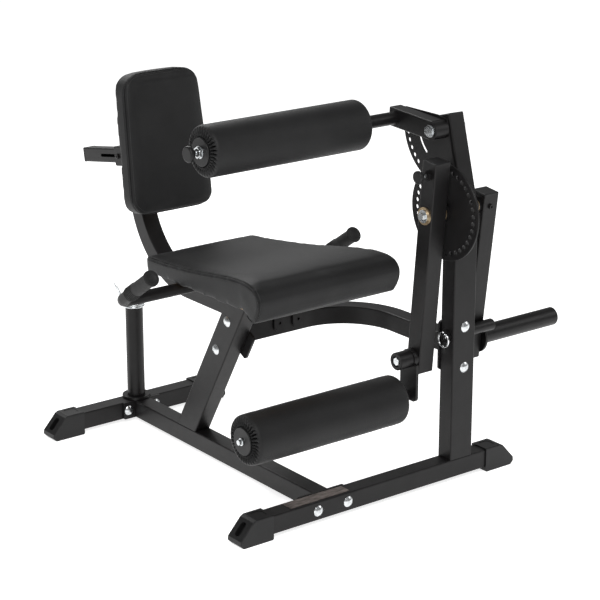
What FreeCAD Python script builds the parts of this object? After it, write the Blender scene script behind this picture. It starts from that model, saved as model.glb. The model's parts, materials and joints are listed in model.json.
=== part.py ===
import FreeCAD, Part
import math
import os

# Plate-loaded leg extension and leg curl machine.
# Working axes: +Z up, the user faces -Y, +X is the user's left hand.
# All working coordinates put x = 0 on the seat centreline, y = 0 on the front
# of the front cross tube and z = 0 on the floor. The whole machine is moved at
# the end so that the middle of its plan lies on the origin.

V = FreeCAD.Vector

# ---- driving dimensions, mm -------------------------------------------------
PLAN_CENTRE_X = 232.9
PLAN_CENTRE_Y = 512.05

TUBE = 50.0
TUBE_DEEP = 75.0
WALL = 3.0
TUBE_CORNER = 3.5
PLATE = 6.0

BASE_LOW = 12.5
BASE_TOP = BASE_LOW + TUBE
BASE_MID = BASE_LOW + TUBE / 2
FRONT_RIM_RIGHT = -191.0
FRONT_RIM_LEFT = 517.0
REAR_RIM = 192.0
REAR_TUBE_FRONT = 886.0
REAR_TUBE_MID = REAR_TUBE_FRONT + TUBE / 2
FOOT_GRIP = 45.0
FOOT_LENGTH = 101.0
FOOT_WIDTH = 58.0
FOOT_TOP = 66.5

POST_RADIUS = 25.0
POST_TOP = 350.0
POST_FLANGE_RADIUS = 40.0
POST_FLANGE = 8.0

SEAT_POST_LEAN = 30.0
SEAT_POST_FRONT = 580.0
PLATE_MID_Y = 449.0
PLATE_MID_Z = 376.0
PLATE_LONG = 134.0
PLATE_WIDE = 80.0
BOLT_REACH = 53.0

BEAM_Z = 371.0
BEAM_Y = 457.0
BEAM_X = 434.0
BEAM_BEND = 185.0

UPRIGHT_LEFT = 467.0
UPRIGHT_RIGHT = UPRIGHT_LEFT - TUBE_DEEP
UPRIGHT_TOP = 765.0
UPPER_LEAN = 15.4
UPPER_CROSS_Z = 742.0
UPPER_LENGTH = 244.0

PIVOT_Y = 25.0
PIVOT_Z = 741.0
SHAFT_RADIUS = 12.5
DISC_RADIUS = 127.0
DISC_FACE = 373.5
DISC_THICK = 5.0
DISC_HOLE_RING = 108.0
DISC_PITCH = 10.0
DISC_HOLE = 6.2

LEG_X = 308.0
LEG_LEAN = 5.2
LEG_ABOVE = 138.0
LEG_BELOW = 425.0
ANKLE_DROP = 388.6
PIN_RADIUS = 5.6

WEIGHT_X = 484.0
WEIGHT_LEAN = 7.0
WEIGHT_ABOVE = 31.0
WEIGHT_BELOW = 428.0
SLEEVE_DROP = 383.0
SLEEVE_END = 817.0
SLEEVE_COLLAR = 43.0

STOP_RADIUS = 15.5
STOP_Y = 25.0
STOP_Z = 405.0
STOP_TIP = 549.0

ROLLER_RADIUS = 65.5
ROLLER_END_DISC = 35.5
ROLLER_RIGHT = -235.0
ROLLER_LEFT = 250.0
LOWER_AXLE_DROP = 101.0

THIGH_Y = 81.0
THIGH_Z = 941.0
THIGH_RISE = 3.4
THIGH_REACH = 141.0
THIGH_X = 370.0
THIGH_WIDE = 40.0
QUADRANT_FACE = 412.0
QUADRANT_RADIUS = 153.0
QUADRANT_PITCH = 8.5
QUADRANT_STOPS = 7
GUIDE_RADIUS = 96.0

SEAT_CENTRE = 14.0
SEAT_BOARD_LOW = 543.0
SEAT_BOARD = 12.0
SEAT_BOARD_FRONT = 100.0
SEAT_RISE = 3.15
SEAT_HINGE_Y = 600.0
SEAT_WRAP = 13.7
SEAT_FRONT_HALF = 224.0
SEAT_REAR_HALF = 170.0
SEAT_FRONT = 24.0
SEAT_REAR = 620.0

J_RUN_Z = 463.0
J_BEND_Y = 610.0
J_BEND = 250.0
SLIDE_TILT = 10.0
SLIDE_END_Y = 1119.0
SLIDE_END_Z = 734.5
SLIDE_TUBE = 40.0
SLIDE_FRONT_Y = 761.0
SLEEVE_BOX = 55.0
SLEEVE_REAR_Y = 942.0
SLEEVE_FRONT_Y = 836.0

PAD_LEAN = 8.5
PAD_TOP_HALF = 118.0
PAD_LOW_HALF = 132.0
PAD_TALL = 378.0
PAD_THICK = 41.0
PAD_BOARD = 11.0
PAD_WRAP = 12.0
PAD_MID_Y = 717.0
PAD_MID_Z = 849.0

HANDLE_Y = 460.0
HANDLE_Z = 527.0
HANDLE_RADIUS = 16.0
HANDLE_HALF = 320.0
HANDLE_CENTRE = -8.0
HANDLE_RISE = 34.0
HANDLE_REACH = 175.0
HANDLE_BEND = 26.0
GRIP_LONG = 120.0

parts = {}


# ---- building helpers -------------------------------------------------------
def box(x0, x1, y0, y1, z0, z1):
    return Part.makeBox(x1 - x0, y1 - y0, z1 - z0, V(x0, y0, z0))


def rod(x, y, z, direction, radius, length):
    return Part.makeCylinder(radius, length, V(x, y, z), direction)


def rod_x(x0, x1, y, z, radius):
    return rod(x0, y, z, V(1, 0, 0), radius, x1 - x0)


def ring_x(x0, x1, y, z, outer, inner):
    return rod_x(x0, x1, y, z, outer).cut(rod_x(x0 - 1, x1 + 1, y, z, inner))


def rounded_face(wide, deep, corner):
    # Flat rounded rectangle in the XY plane, centred on the origin.
    a = wide / 2
    b = deep / 2
    c = corner
    k = c * (1 - math.sqrt(0.5))
    lines = [
        Part.makeLine(V(c - a, -b, 0), V(a - c, -b, 0)),
        Part.Arc(V(a - c, -b, 0), V(a - k, k - b, 0), V(a, c - b, 0)).toShape(),
        Part.makeLine(V(a, c - b, 0), V(a, b - c, 0)),
        Part.Arc(V(a, b - c, 0), V(a - k, b - k, 0), V(a - c, b, 0)).toShape(),
        Part.makeLine(V(a - c, b, 0), V(c - a, b, 0)),
        Part.Arc(V(c - a, b, 0), V(k - a, b - k, 0), V(-a, b - c, 0)).toShape(),
        Part.makeLine(V(-a, b - c, 0), V(-a, c - b, 0)),
        Part.Arc(V(-a, c - b, 0), V(k - a, k - b, 0), V(c - a, -b, 0)).toShape(),
    ]
    return Part.Face(Part.Wire(lines))


def hollow_face(wide, deep, wall, corner):
    outer = rounded_face(wide, deep, corner)
    inner = rounded_face(wide - 2 * wall, deep - 2 * wall, max(corner - wall, 1.0))
    return outer.cut(inner)


def bar(wide, deep, low, high, corner=TUBE_CORNER):
    # Solid rounded bar along Z.
    face = rounded_face(wide, deep, corner)
    face.translate(V(0, 0, low))
    return face.extrude(V(0, 0, high - low))


def tube(wide, deep, low, high, wall=WALL, corner=TUBE_CORNER):
    # Rectangular tube along Z, centred on the origin in plan.
    outer = bar(wide, deep, low, high, corner)
    inner = bar(wide - 2 * wall, deep - 2 * wall, low - 1, high + 1, max(corner - wall, 1.0))
    return outer.cut(inner)


def lay_x(shape, y, z):
    # Turn a Z-built member so that it runs along X.
    shape.rotate(V(0, 0, 0), V(0, 1, 0), 90)
    shape.translate(V(0, y, z))
    return shape


def lay_y(shape, x, z):
    # Turn a Z-built member so that it runs along Y.
    shape.rotate(V(0, 0, 0), V(1, 0, 0), -90)
    shape.translate(V(x, 0, z))
    return shape


def tip(shape, y, z, degrees):
    # Lean a shape about a line along X through (y, z); positive carries the
    # underside towards the rear of the machine.
    shape.rotate(V(0, y, z), V(1, 0, 0), degrees)
    return shape


def hexagon(x0, x1, y, z, across):
    corner = across / math.sqrt(3)
    points = []
    for step in range(7):
        angle = math.radians(60 * step + 30)
        points.append(V(x0, y + corner * math.cos(angle), z + corner * math.sin(angle)))
    face = Part.Face(Part.makePolygon(points))
    return face.extrude(V(x1 - x0, 0, 0))


def soften(shape, radius, choose):
    # Round every edge the chooser accepts.
    edges = [edge for edge in shape.Edges if choose(edge)]
    return shape.makeFillet(radius, edges)


def near_plan(edge):
    # True for an edge whose two ends are at one height.
    ends = edge.Vertexes
    return len(ends) == 2 and abs(ends[0].Z - ends[1].Z) < 0.01


def polar(y, z, radius, degrees):
    angle = math.radians(degrees)
    return y + radius * math.cos(angle), z + radius * math.sin(angle)


def knob(x_inner, x_outer, y, z, stem, head):
    # Mushroom knob revolved about a line along X, dome at the outer end.
    way = 1.0 if x_outer > x_inner else -1.0
    long = abs(x_outer - x_inner)
    skirt = Part.makeCylinder(stem, long * 0.45, V(0, 0, 0), V(0, 0, 1))
    cap = Part.makeCylinder(head, long * 0.6, V(0, 0, long * 0.4), V(0, 0, 1))
    cap = cap.makeFillet(long * 0.22, cap.Edges)
    shape = skirt.fuse(cap).removeSplitter()
    shape.rotate(V(0, 0, 0), V(0, 1, 0), 90 * way)
    shape.translate(V(x_inner, y, z))
    return shape


# ---- base -------------------------------------------------------------------
def carriage_bolt():
    # Domed head below zero, shank and nut above, clamping 56 mm.
    dome = Part.makeSphere(19.0, V(0, 0, 12.5))
    head = dome.common(Part.makeBox(60, 60, 6.5, V(-30, -30, -6.5)))
    shank = Part.makeCylinder(6.0, 73.0)
    washer = Part.makeCylinder(12.0, 2.0, V(0, 0, TUBE + PLATE))
    nut = hexagon(TUBE + PLATE + 2.0, TUBE + PLATE + 12.0, 0, 0, 19.0)
    nut.rotate(V(0, 0, 0), V(0, 1, 0), -90)
    return head.fuse([shank, washer, nut]).removeSplitter()


bolt_seats = []
for side in (-48.0, 48.0):
    bolt_seats.append((side, 0.0, BASE_MID, V(0, 1, 0)))
for side in (-45.0, 45.0):
    bolt_seats.append((side, REAR_TUBE_FRONT - PLATE, BASE_MID, V(0, 1, 0)))
for reach in (-BOLT_REACH, BOLT_REACH):
    lean = math.radians(SEAT_POST_LEAN)
    y = PLATE_MID_Y - reach * math.sin(lean)
    z = PLATE_MID_Z + reach * math.cos(lean)
    bolt_seats.append((-TUBE / 2, y, z, V(1, 0, 0)))
for height in (316.0, 427.0):
    bolt_seats.append((BEAM_X - 1.0, 0.0, height, V(0, 1, 0)))

bolts = []
holes = []
for x, y, z, way in bolt_seats:
    bolt = carriage_bolt()
    turn = FreeCAD.Rotation(V(0, 0, 1), way)
    bolt.Placement = FreeCAD.Placement(V(x, y, z), turn)
    bolts.append(bolt)
    start = V(x, y, z) - way * 5.0
    holes.append(rod(start.x, start.y, start.z, way, 6.3, 70.0))
parts["carriage_bolts"] = Part.makeCompound(bolts)

front = tube(TUBE, TUBE, FRONT_RIM_RIGHT - FOOT_GRIP, FRONT_RIM_LEFT + FOOT_GRIP)
front = lay_x(front, TUBE / 2, BASE_MID)
parts["front_cross_tube"] = front.cut(holes[0:2])

rear = tube(TUBE, TUBE, -REAR_RIM - FOOT_GRIP, REAR_RIM + FOOT_GRIP)
rear = lay_x(rear, REAR_TUBE_MID, BASE_MID)
parts["rear_cross_tube"] = rear.cut(holes[2:4])

spine = lay_y(tube(TUBE, TUBE, TUBE + PLATE, REAR_TUBE_FRONT - PLATE), 0, BASE_MID)
front_flange = box(-75, 75, TUBE, TUBE + PLATE, BASE_LOW, BASE_TOP)
rear_flange = box(-63, 63, REAR_TUBE_FRONT - PLATE, REAR_TUBE_FRONT, BASE_LOW, BASE_TOP)


def flange_corner(edge):
    return near_plan(edge) and abs(edge.Vertexes[0].X - edge.Vertexes[1].X) < 0.01


front_flange = soften(front_flange, 6.0, flange_corner)
rear_flange = soften(rear_flange, 6.0, flange_corner)
parts["spine_tube"] = spine.fuse([front_flange, rear_flange]).cut(holes[0:4])


def foot_cap():
    # Wedge foot over a tube end running towards +X, rim at zero.
    outline = [
        V(0, 0, 3),
        V(3, 0, 0),
        V(FOOT_LENGTH - 9, 0, 0),
        V(FOOT_LENGTH, 0, 9),
        V(FOOT_LENGTH - 1, 0, 20),
        V(62, 0, 62),
        V(53, 0, FOOT_TOP),
        V(0, 0, FOOT_TOP),
    ]
    side = Part.Face(Part.makePolygon(outline + [outline[0]]))
    side.translate(V(0, -FOOT_WIDTH / 2, 0))
    body = side.extrude(V(0, FOOT_WIDTH, 0))

    def outer_edge(edge):
        if len(edge.Vertexes) != 2:
            return False
        a = edge.Vertexes[0]
        b = edge.Vertexes[1]
        along = abs(a.Y - b.Y) < 0.01
        clear = max(a.X, b.X) > 4.0 and max(a.Z, b.Z) > 1.0
        return along and clear

    body = soften(body, 3.0, outer_edge)
    pocket = box(-1, FOOT_GRIP + 0.2, -25.1, 25.1, BASE_LOW - 0.1, BASE_TOP + 0.1)
    panel = bar(34, 34, FOOT_TOP - 1.2, FOOT_TOP + 5, 8)
    panel.translate(V(26, 0, 0))
    slot = bar(40, 20, -14, 30, 9.9)
    slot.rotate(V(0, 0, 0), V(0, 1, 0), 48)
    slot.translate(V(81, 0, 41))
    return body.cut([pocket, panel, slot])


def place_foot(rim, middle, way):
    cap = foot_cap()
    if way < 0:
        cap.rotate(V(0, 0, 0), V(0, 0, 1), 180)
    cap.translate(V(rim, middle, 0))
    return cap


parts["foot_front_right"] = place_foot(FRONT_RIM_RIGHT, TUBE / 2, -1)
parts["foot_front_left"] = place_foot(FRONT_RIM_LEFT, TUBE / 2, 1)
parts["foot_rear_right"] = place_foot(-REAR_RIM, REAR_TUBE_MID, -1)
parts["foot_rear_left"] = place_foot(REAR_RIM, REAR_TUBE_MID, 1)

plate = bar(188, 36, BASE_TOP, BASE_TOP + 1.2, 3)
plate.translate(V(-36, 26, 0))
parts["name_plate"] = plate

# ---- plate storage post -----------------------------------------------------
post_low = BASE_TOP + POST_FLANGE
post = rod(0, REAR_TUBE_MID, post_low, V(0, 0, 1), POST_RADIUS, POST_TOP - post_low)
post = soften(post, 2.5, lambda e: e.BoundBox.ZMin > POST_TOP - 1)
hollow = rod(0, REAR_TUBE_MID, post_low, V(0, 0, 1), POST_RADIUS - WALL, 270)
flange = rod(0, REAR_TUBE_MID, BASE_TOP, V(0, 0, 1), POST_FLANGE_RADIUS, POST_FLANGE)
flange = soften(flange, 2.0, lambda e: e.BoundBox.ZMin > BASE_TOP + 1)
parts["storage_post"] = post.cut(hollow).fuse(flange)

wire = 2.7
turn_radius = POST_RADIUS + 0.3 + wire
clip = []
for height in (336.5, 342.3):
    clip.append(Part.makeTorus(turn_radius, wire, V(0, REAR_TUBE_MID, height), V(0, 0, 1)))
joiner = rod(-turn_radius, REAR_TUBE_MID, 336.5, V(0, 0, 1), wire * 0.9, 5.8)
lift = V(-0.35, 0.25, 1.0)
tails = [joiner]
for shift in (-4.0, 4.0):
    tail_start = V(-turn_radius, REAR_TUBE_MID + shift, 339.4)
    tails.append(Part.makeCylinder(wire * 0.85, 66.0 + shift, tail_start, lift))
    tails.append(Part.makeSphere(wire * 0.85, tail_start + lift * ((66.0 + shift) / lift.Length)))
parts["spring_clip"] = clip[0].fuse(clip[1:] + tails)

# ---- seat post --------------------------------------------------------------
lean = math.radians(SEAT_POST_LEAN)
post_mid_y = SEAT_POST_FRONT + TUBE_DEEP / 2 / math.cos(lean)
seat_post = tube(TUBE, TUBE_DEEP, -80, 620)
seat_post_core = bar(TUBE, TUBE_DEEP, -80, 620)
for member in (seat_post, seat_post_core):
    member.translate(V(0, post_mid_y, BASE_TOP))
    tip(member, post_mid_y, BASE_TOP, SEAT_POST_LEAN)
above = box(-40, 40, 100, 700, SEAT_BOARD_LOW - 3, SEAT_BOARD_LOW + 300)
above = tip(above, SEAT_HINGE_Y, SEAT_BOARD_LOW, -SEAT_RISE)
keep = box(-40, 40, 200, 750, BASE_TOP, 700)
seat_post = seat_post.common(keep).cut(above)
seat_plate = box(-62, 62, 262, 426, SEAT_BOARD_LOW - 5, SEAT_BOARD_LOW)
seat_plate = soften(seat_plate, 10.0, lambda e: not near_plan(e))
seat_plate = tip(seat_plate, SEAT_HINGE_Y, SEAT_BOARD_LOW, -SEAT_RISE)
parts["seat_post"] = seat_post.fuse(seat_plate).cut(holes[4:6])

# ---- curved beam ------------------------------------------------------------
bend_x = BEAM_X - BEAM_BEND
bend_y = BEAM_Y - BEAM_BEND
lateral = lay_x(tube(TUBE, TUBE, TUBE / 2 + PLATE, bend_x), BEAM_Y, BEAM_Z)
section = hollow_face(TUBE, TUBE, WALL, TUBE_CORNER)
section.rotate(V(0, 0, 0), V(0, 1, 0), 90)
section.translate(V(bend_x, BEAM_Y, BEAM_Z))
bend = section.revolve(V(bend_x, bend_y, BEAM_Z), V(0, 0, 1), -90)
forward = lay_y(tube(TUBE, TUBE, TUBE + PLATE, bend_y), BEAM_X, BEAM_Z)
post_plate = bar(PLATE_WIDE, PLATE_LONG, 0, PLATE, 10)
post_plate.rotate(V(0, 0, 0), V(0, 0, 1), 90)
post_plate.rotate(V(0, 0, 0), V(0, 1, 0), 90)
post_plate.rotate(V(0, 0, 0), V(1, 0, 0), SEAT_POST_LEAN + 90)
post_plate.translate(V(TUBE / 2, PLATE_MID_Y, PLATE_MID_Z))
upright_plate = bar(84, 135, 0, PLATE, 8)
upright_plate.rotate(V(0, 0, 0), V(1, 0, 0), 90)
upright_plate.translate(V(430, TUBE + PLATE, 371.5))
lugs = []
lug_face = BEAM_Y - TUBE / 2
for x in (153.0, 215.0):
    lug = box(x - 19, x + 19, lug_face - 5, lug_face, BEAM_Z - 12, BEAM_Z + 30)
    low_corners = [e for e in lug.Edges if e.BoundBox.YLength > 1 and e.BoundBox.ZMax < BEAM_Z - 11]
    lug = lug.makeChamfer(9.0, low_corners)
    lugs.append(lug.cut(rod(x, lug_face - 8, BEAM_Z + 9, V(0, 1, 0), 4.0, 10)))
beam = lateral.fuse([bend, forward, post_plate, upright_plate] + lugs)
parts["curved_beam"] = beam.cut(holes[4:8]).removeSplitter()

# ---- upright ----------------------------------------------------------------
lower = tube(TUBE_DEEP, TUBE, BASE_TOP, UPRIGHT_TOP)
lid = bar(TUBE_DEEP, TUBE, UPRIGHT_TOP - 4, UPRIGHT_TOP)
lower = lower.fuse(lid)
lower.translate(V((UPRIGHT_LEFT + UPRIGHT_RIGHT) / 2, TUBE / 2, 0))
housing = rod_x(UPRIGHT_RIGHT - 6, UPRIGHT_LEFT + 6, PIVOT_Y, PIVOT_Z, 21.0)
bore = rod_x(UPRIGHT_RIGHT - 10, UPRIGHT_LEFT + 10, PIVOT_Y, PIVOT_Z, 16.0)
stop_bore = rod_x(UPRIGHT_RIGHT - 10, UPRIGHT_LEFT + 10, STOP_Y, STOP_Z, STOP_RADIUS + 0.05)
front_block = box(380, 480, -100, 0, 650, 900)
tip(front_block, 0, UPPER_CROSS_Z, -UPPER_LEAN)
lower = lower.cut(front_block).fuse(housing).cut([bore, stop_bore, holes[6], holes[7]])

upper = tube(TUBE, TUBE, -60, UPPER_LENGTH)
upper.translate(V(UPRIGHT_LEFT - TUBE / 2, TUBE / 2, UPPER_CROSS_Z))
tip(upper, 0, UPPER_CROSS_Z, -UPPER_LEAN)
upper = upper.cut(box(300, 600, -100, 200, 600, UPRIGHT_TOP))
thigh_bore = rod_x(350, 500, THIGH_Y, THIGH_Z, 8.1)
parts["upright"] = lower.fuse(upper.cut(thigh_bore))


def end_cap(length_in, dome, wide=TUBE, deep=TUBE):
    # Plastic plug for a tube end, cap face upward, tube end at zero.
    plug = bar(wide - 2 * WALL - 0.2, deep - 2 * WALL - 0.2, -length_in, 0, 2)
    cap = bar(wide, deep, 0, dome)
    cap = soften(cap, dome * 0.6, lambda e: e.BoundBox.ZMin > dome - 0.01)
    return plug.fuse(cap)


cap = end_cap(16, 5)
cap.translate(V(UPRIGHT_LEFT - TUBE / 2, TUBE / 2, UPPER_CROSS_Z + UPPER_LENGTH))
parts["upright_cap"] = tip(cap, 0, UPPER_CROSS_Z, -UPPER_LEAN)

# ---- thigh index quadrant ---------------------------------------------------
arc = []
for step in range(0, 25):
    angle = 12.0 - 70.0 * step / 24
    y, z = polar(THIGH_Y, THIGH_Z, QUADRANT_RADIUS, angle)
    arc.append(V(QUADRANT_FACE, y, z))
upper_arc = Part.Arc(arc[0], arc[12], arc[24]).toShape()
corners = [arc[24], V(QUADRANT_FACE, 62, 800), V(QUADRANT_FACE, 36, 850)]
corners = corners + [V(QUADRANT_FACE, 68, 968), V(QUADRANT_FACE, 105, 973), arc[0]]
rim = Part.Wire([upper_arc] + Part.makePolygon(corners).Edges)
quadrant = Part.Face(rim).extrude(V(UPRIGHT_LEFT - TUBE - QUADRANT_FACE, 0, 0))
cuts = [rod_x(400, 430, THIGH_Y, THIGH_Z, 8.1)]
for stop in range(QUADRANT_STOPS):
    y, z = polar(THIGH_Y, THIGH_Z, THIGH_REACH, THIGH_RISE - QUADRANT_PITCH * stop)
    cuts.append(rod_x(400, 430, y, z, DISC_HOLE))
slot_high = THIGH_RISE + 0.6
slot_low = THIGH_RISE - QUADRANT_PITCH * (QUADRANT_STOPS - 1) - 0.6
slot = ring_x(405, 425, THIGH_Y, THIGH_Z, GUIDE_RADIUS + 5.2, GUIDE_RADIUS - 5.2)
sector = []
for angle in (slot_high, (slot_high + slot_low) / 2, slot_low):
    y, z = polar(THIGH_Y, THIGH_Z, 260, angle)
    sector.append(V(405, y, z))
hub = V(405, THIGH_Y, THIGH_Z)
wedge = Part.Face(Part.makePolygon([hub, sector[0], sector[1], sector[2], hub]))
slot = slot.common(wedge.extrude(V(20, 0, 0)))
cuts.append(slot)
for angle in (slot_high, slot_low):
    y, z = polar(THIGH_Y, THIGH_Z, GUIDE_RADIUS, angle)
    cuts.append(rod_x(405, 425, y, z, 5.0))
parts["index_quadrant"] = quadrant.cut(cuts)

# ---- lever: shaft, disc, weight arm ------------------------------------------
bush = ring_x(UPRIGHT_RIGHT - 6, UPRIGHT_RIGHT + 22, PIVOT_Y, PIVOT_Z, 15.95, SHAFT_RADIUS + 0.05)
collar = ring_x(UPRIGHT_RIGHT - 8, UPRIGHT_RIGHT - 6, PIVOT_Y, PIVOT_Z, 20.0, SHAFT_RADIUS + 0.05)
bush = bush.fuse(collar)
other = bush.mirror(V((UPRIGHT_LEFT + UPRIGHT_RIGHT) / 2, 0, 0), V(1, 0, 0))
parts["pivot_bushings"] = Part.makeCompound([bush, other])

shaft_right = 303.7
shaft_left = WEIGHT_X + TUBE + 2.0
shaft = rod_x(shaft_right, shaft_left, PIVOT_Y, PIVOT_Z, SHAFT_RADIUS)
shoulder = rod_x(UPRIGHT_LEFT + 8.3, WEIGHT_X, PIVOT_Y, PIVOT_Z, 19.0)
taps = [rod_x(shaft_right - 1, shaft_right + 26, PIVOT_Y, PIVOT_Z, 5.0)]
taps.append(rod_x(shaft_left - 26, shaft_left + 1, PIVOT_Y, PIVOT_Z, 5.0))
parts["pivot_shaft"] = shaft.fuse(shoulder).cut(taps)


def end_bolt(x, way, y, z, washer, head, depth):
    # Washer and hex head closing a shaft end; way is the outward direction.
    a = x
    b = x + 3.0 * way
    c = x + 11.0 * way
    pieces = [rod_x(min(a, b), max(a, b), y, z, washer)]
    crown = hexagon(min(b, c), max(b, c), y, z, head)
    ball = Part.makeSphere(head * 1.02, V(c - way * head * 0.93, y, z))
    pieces.append(crown.common(ball.fuse(rod_x(min(b, c), max(b, c), y, z, head * 0.5))))
    d = x - depth * way
    pieces.append(rod_x(min(d, a), max(d, a), y, z, 4.95))
    return pieces[0].fuse(pieces[1:]).removeSplitter()


right_bolt = end_bolt(shaft_right, -1, PIVOT_Y, PIVOT_Z, 17.0, 19.0, 24)
left_bolt = end_bolt(shaft_left, 1, PIVOT_Y, PIVOT_Z, 17.0, 19.0, 24)
parts["pivot_bolts"] = Part.makeCompound([right_bolt, left_bolt])

disc = rod_x(DISC_FACE, DISC_FACE + DISC_THICK, PIVOT_Y, PIVOT_Z, DISC_RADIUS)
disc = disc.makeChamfer(0.8, [e for e in disc.Edges if e.BoundBox.XLength < 0.1])
hub = rod_x(362.3, UPRIGHT_RIGHT - 8.3, PIVOT_Y, PIVOT_Z, 22.0)
cuts = [rod_x(350, 400, PIVOT_Y, PIVOT_Z, SHAFT_RADIUS)]
for step in range(int(360 / DISC_PITCH)):
    y, z = polar(PIVOT_Y, PIVOT_Z, DISC_HOLE_RING, 90 + LEG_LEAN + DISC_PITCH * step)
    cuts.append(rod_x(360, 390, y, z, DISC_HOLE))
parts["index_disc"] = disc.fuse(hub).cut(cuts)

weight_mid = WEIGHT_X + TUBE / 2
arm = tube(TUBE, TUBE, -WEIGHT_BELOW, WEIGHT_ABOVE)
arm.translate(V(weight_mid, PIVOT_Y, PIVOT_Z))
arm = arm.cut(rod_x(470, 560, PIVOT_Y, PIVOT_Z, SHAFT_RADIUS))
arm = arm.cut(rod(weight_mid, PIVOT_Y - 40, PIVOT_Z, V(0, 1, 0), 4.2, 30))
parts["weight_arm"] = tip(arm, PIVOT_Y, PIVOT_Z, WEIGHT_LEAN)

top_cap = end_cap(14, 5)
top_cap.translate(V(weight_mid, PIVOT_Y, PIVOT_Z + WEIGHT_ABOVE))
low_cap = end_cap(14, 5)
low_cap.rotate(V(0, 0, 0), V(1, 0, 0), 180)
low_cap.translate(V(weight_mid, PIVOT_Y, PIVOT_Z - WEIGHT_BELOW))
caps = [tip(top_cap, PIVOT_Y, PIVOT_Z, WEIGHT_LEAN), tip(low_cap, PIVOT_Y, PIVOT_Z, WEIGHT_LEAN)]
parts["weight_arm_caps"] = Part.makeCompound(caps)

screw = rod(weight_mid, PIVOT_Y - 30, PIVOT_Z, V(0, 1, 0), 7.0, 5.0)
screw = screw.makeFillet(1.2, [screw.Edges[0]])
stem = rod(weight_mid, PIVOT_Y - 25, PIVOT_Z, V(0, 1, 0), 4.0, 12.3)
socket = rod(weight_mid, PIVOT_Y - 31, PIVOT_Z, V(0, 1, 0), 3.2, 4.0)
parts["set_screw"] = tip(screw.fuse(stem).cut(socket), PIVOT_Y, PIVOT_Z, WEIGHT_LEAN)

lean = math.radians(WEIGHT_LEAN)
sleeve_y = PIVOT_Y + SLEEVE_DROP * math.sin(lean)
sleeve_z = PIVOT_Z - SLEEVE_DROP * math.cos(lean)
sleeve_x = WEIGHT_X + TUBE
sleeve = ring_x(sleeve_x, SLEEVE_END - 5, sleeve_y, sleeve_z, POST_RADIUS, POST_RADIUS - WALL)
collar = rod_x(sleeve_x, sleeve_x + 8, sleeve_y, sleeve_z, SLEEVE_COLLAR)
collar = soften(collar, 2.5, lambda e: e.BoundBox.XMin > sleeve_x + 1)
parts["weight_sleeve"] = sleeve.fuse(collar).removeSplitter()
plug = rod_x(SLEEVE_END - 25, SLEEVE_END - 5, sleeve_y, sleeve_z, POST_RADIUS - WALL - 0.1)
face = rod_x(SLEEVE_END - 5, SLEEVE_END, sleeve_y, sleeve_z, POST_RADIUS)
face = soften(face, 3.0, lambda e: e.BoundBox.XMin > SLEEVE_END - 1)
parts["weight_sleeve_cap"] = plug.fuse(face)

# ---- leg arm ----------------------------------------------------------------
leg_mid = LEG_X + TUBE / 2
arm = tube(TUBE, TUBE, -LEG_BELOW, LEG_ABOVE)
arm.translate(V(leg_mid, PIVOT_Y, PIVOT_Z))
cuts = [rod_x(300, 370, PIVOT_Y, PIVOT_Z, 17.0)]
cuts.append(rod_x(300, 330, PIVOT_Y, PIVOT_Z + DISC_HOLE_RING, 9.0))
cuts.append(rod_x(340, 370, PIVOT_Y, PIVOT_Z + DISC_HOLE_RING, PIN_RADIUS + 0.1))
cuts.append(rod_x(300, 370, PIVOT_Y, PIVOT_Z - ANKLE_DROP, 8.1))
parts["leg_arm"] = tip(arm.cut(cuts), PIVOT_Y, PIVOT_Z, LEG_LEAN)

top_cap = end_cap(14, 4)
top_cap.translate(V(leg_mid, PIVOT_Y, PIVOT_Z + LEG_ABOVE))
low_cap = end_cap(14, 4)
low_cap.rotate(V(0, 0, 0), V(1, 0, 0), 180)
low_cap.translate(V(leg_mid, PIVOT_Y, PIVOT_Z - LEG_BELOW))
caps = [tip(top_cap, PIVOT_Y, PIVOT_Z, LEG_LEAN), tip(low_cap, PIVOT_Y, PIVOT_Z, LEG_LEAN)]
parts["leg_arm_caps"] = Part.makeCompound(caps)

barrel = ring_x(LEG_X, LEG_X + TUBE, PIVOT_Y, PIVOT_Z, 16.95, SHAFT_RADIUS + 0.05)
flanges = [ring_x(LEG_X - 4, LEG_X, PIVOT_Y, PIVOT_Z, 23.0, SHAFT_RADIUS + 0.05)]
flanges.append(ring_x(LEG_X + TUBE, LEG_X + TUBE + 4, PIVOT_Y, PIVOT_Z, 23.0, SHAFT_RADIUS + 0.05))
parts["leg_arm_bushing"] = barrel.fuse(flanges)

nose = rod_x(LEG_X, LEG_X + 16, PIVOT_Y, PIVOT_Z + DISC_HOLE_RING, 8.9)
nut = hexagon(LEG_X - 9, LEG_X, PIVOT_Y, PIVOT_Z + DISC_HOLE_RING, 24.0)
neck = rod_x(LEG_X - 12, LEG_X - 9, PIVOT_Y, PIVOT_Z + DISC_HOLE_RING, 9.5)
pin_bore = rod_x(LEG_X - 30, LEG_X + 20, PIVOT_Y, PIVOT_Z + DISC_HOLE_RING, PIN_RADIUS + 0.1)
parts["pop_pin_housing"] = tip(nose.fuse([nut, neck]).cut(pin_bore), PIVOT_Y, PIVOT_Z, LEG_LEAN)

pin_tip = DISC_FACE - 0.5
plunger = rod_x(LEG_X - 28, pin_tip, PIVOT_Y, PIVOT_Z + DISC_HOLE_RING, PIN_RADIUS)
plunger = plunger.makeChamfer(1.0, [e for e in plunger.Edges if e.BoundBox.XMin > pin_tip - 1])
parts["pop_pin"] = tip(plunger, PIVOT_Y, PIVOT_Z, LEG_LEAN)
head = knob(LEG_X - 20, LEG_X - 39, PIVOT_Y, PIVOT_Z + DISC_HOLE_RING, 9.0, 16.5)
head = head.cut(rod_x(LEG_X - 28, LEG_X, PIVOT_Y, PIVOT_Z + DISC_HOLE_RING, PIN_RADIUS))
parts["pop_pin_knob"] = tip(head, PIVOT_Y, PIVOT_Z, LEG_LEAN)

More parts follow.
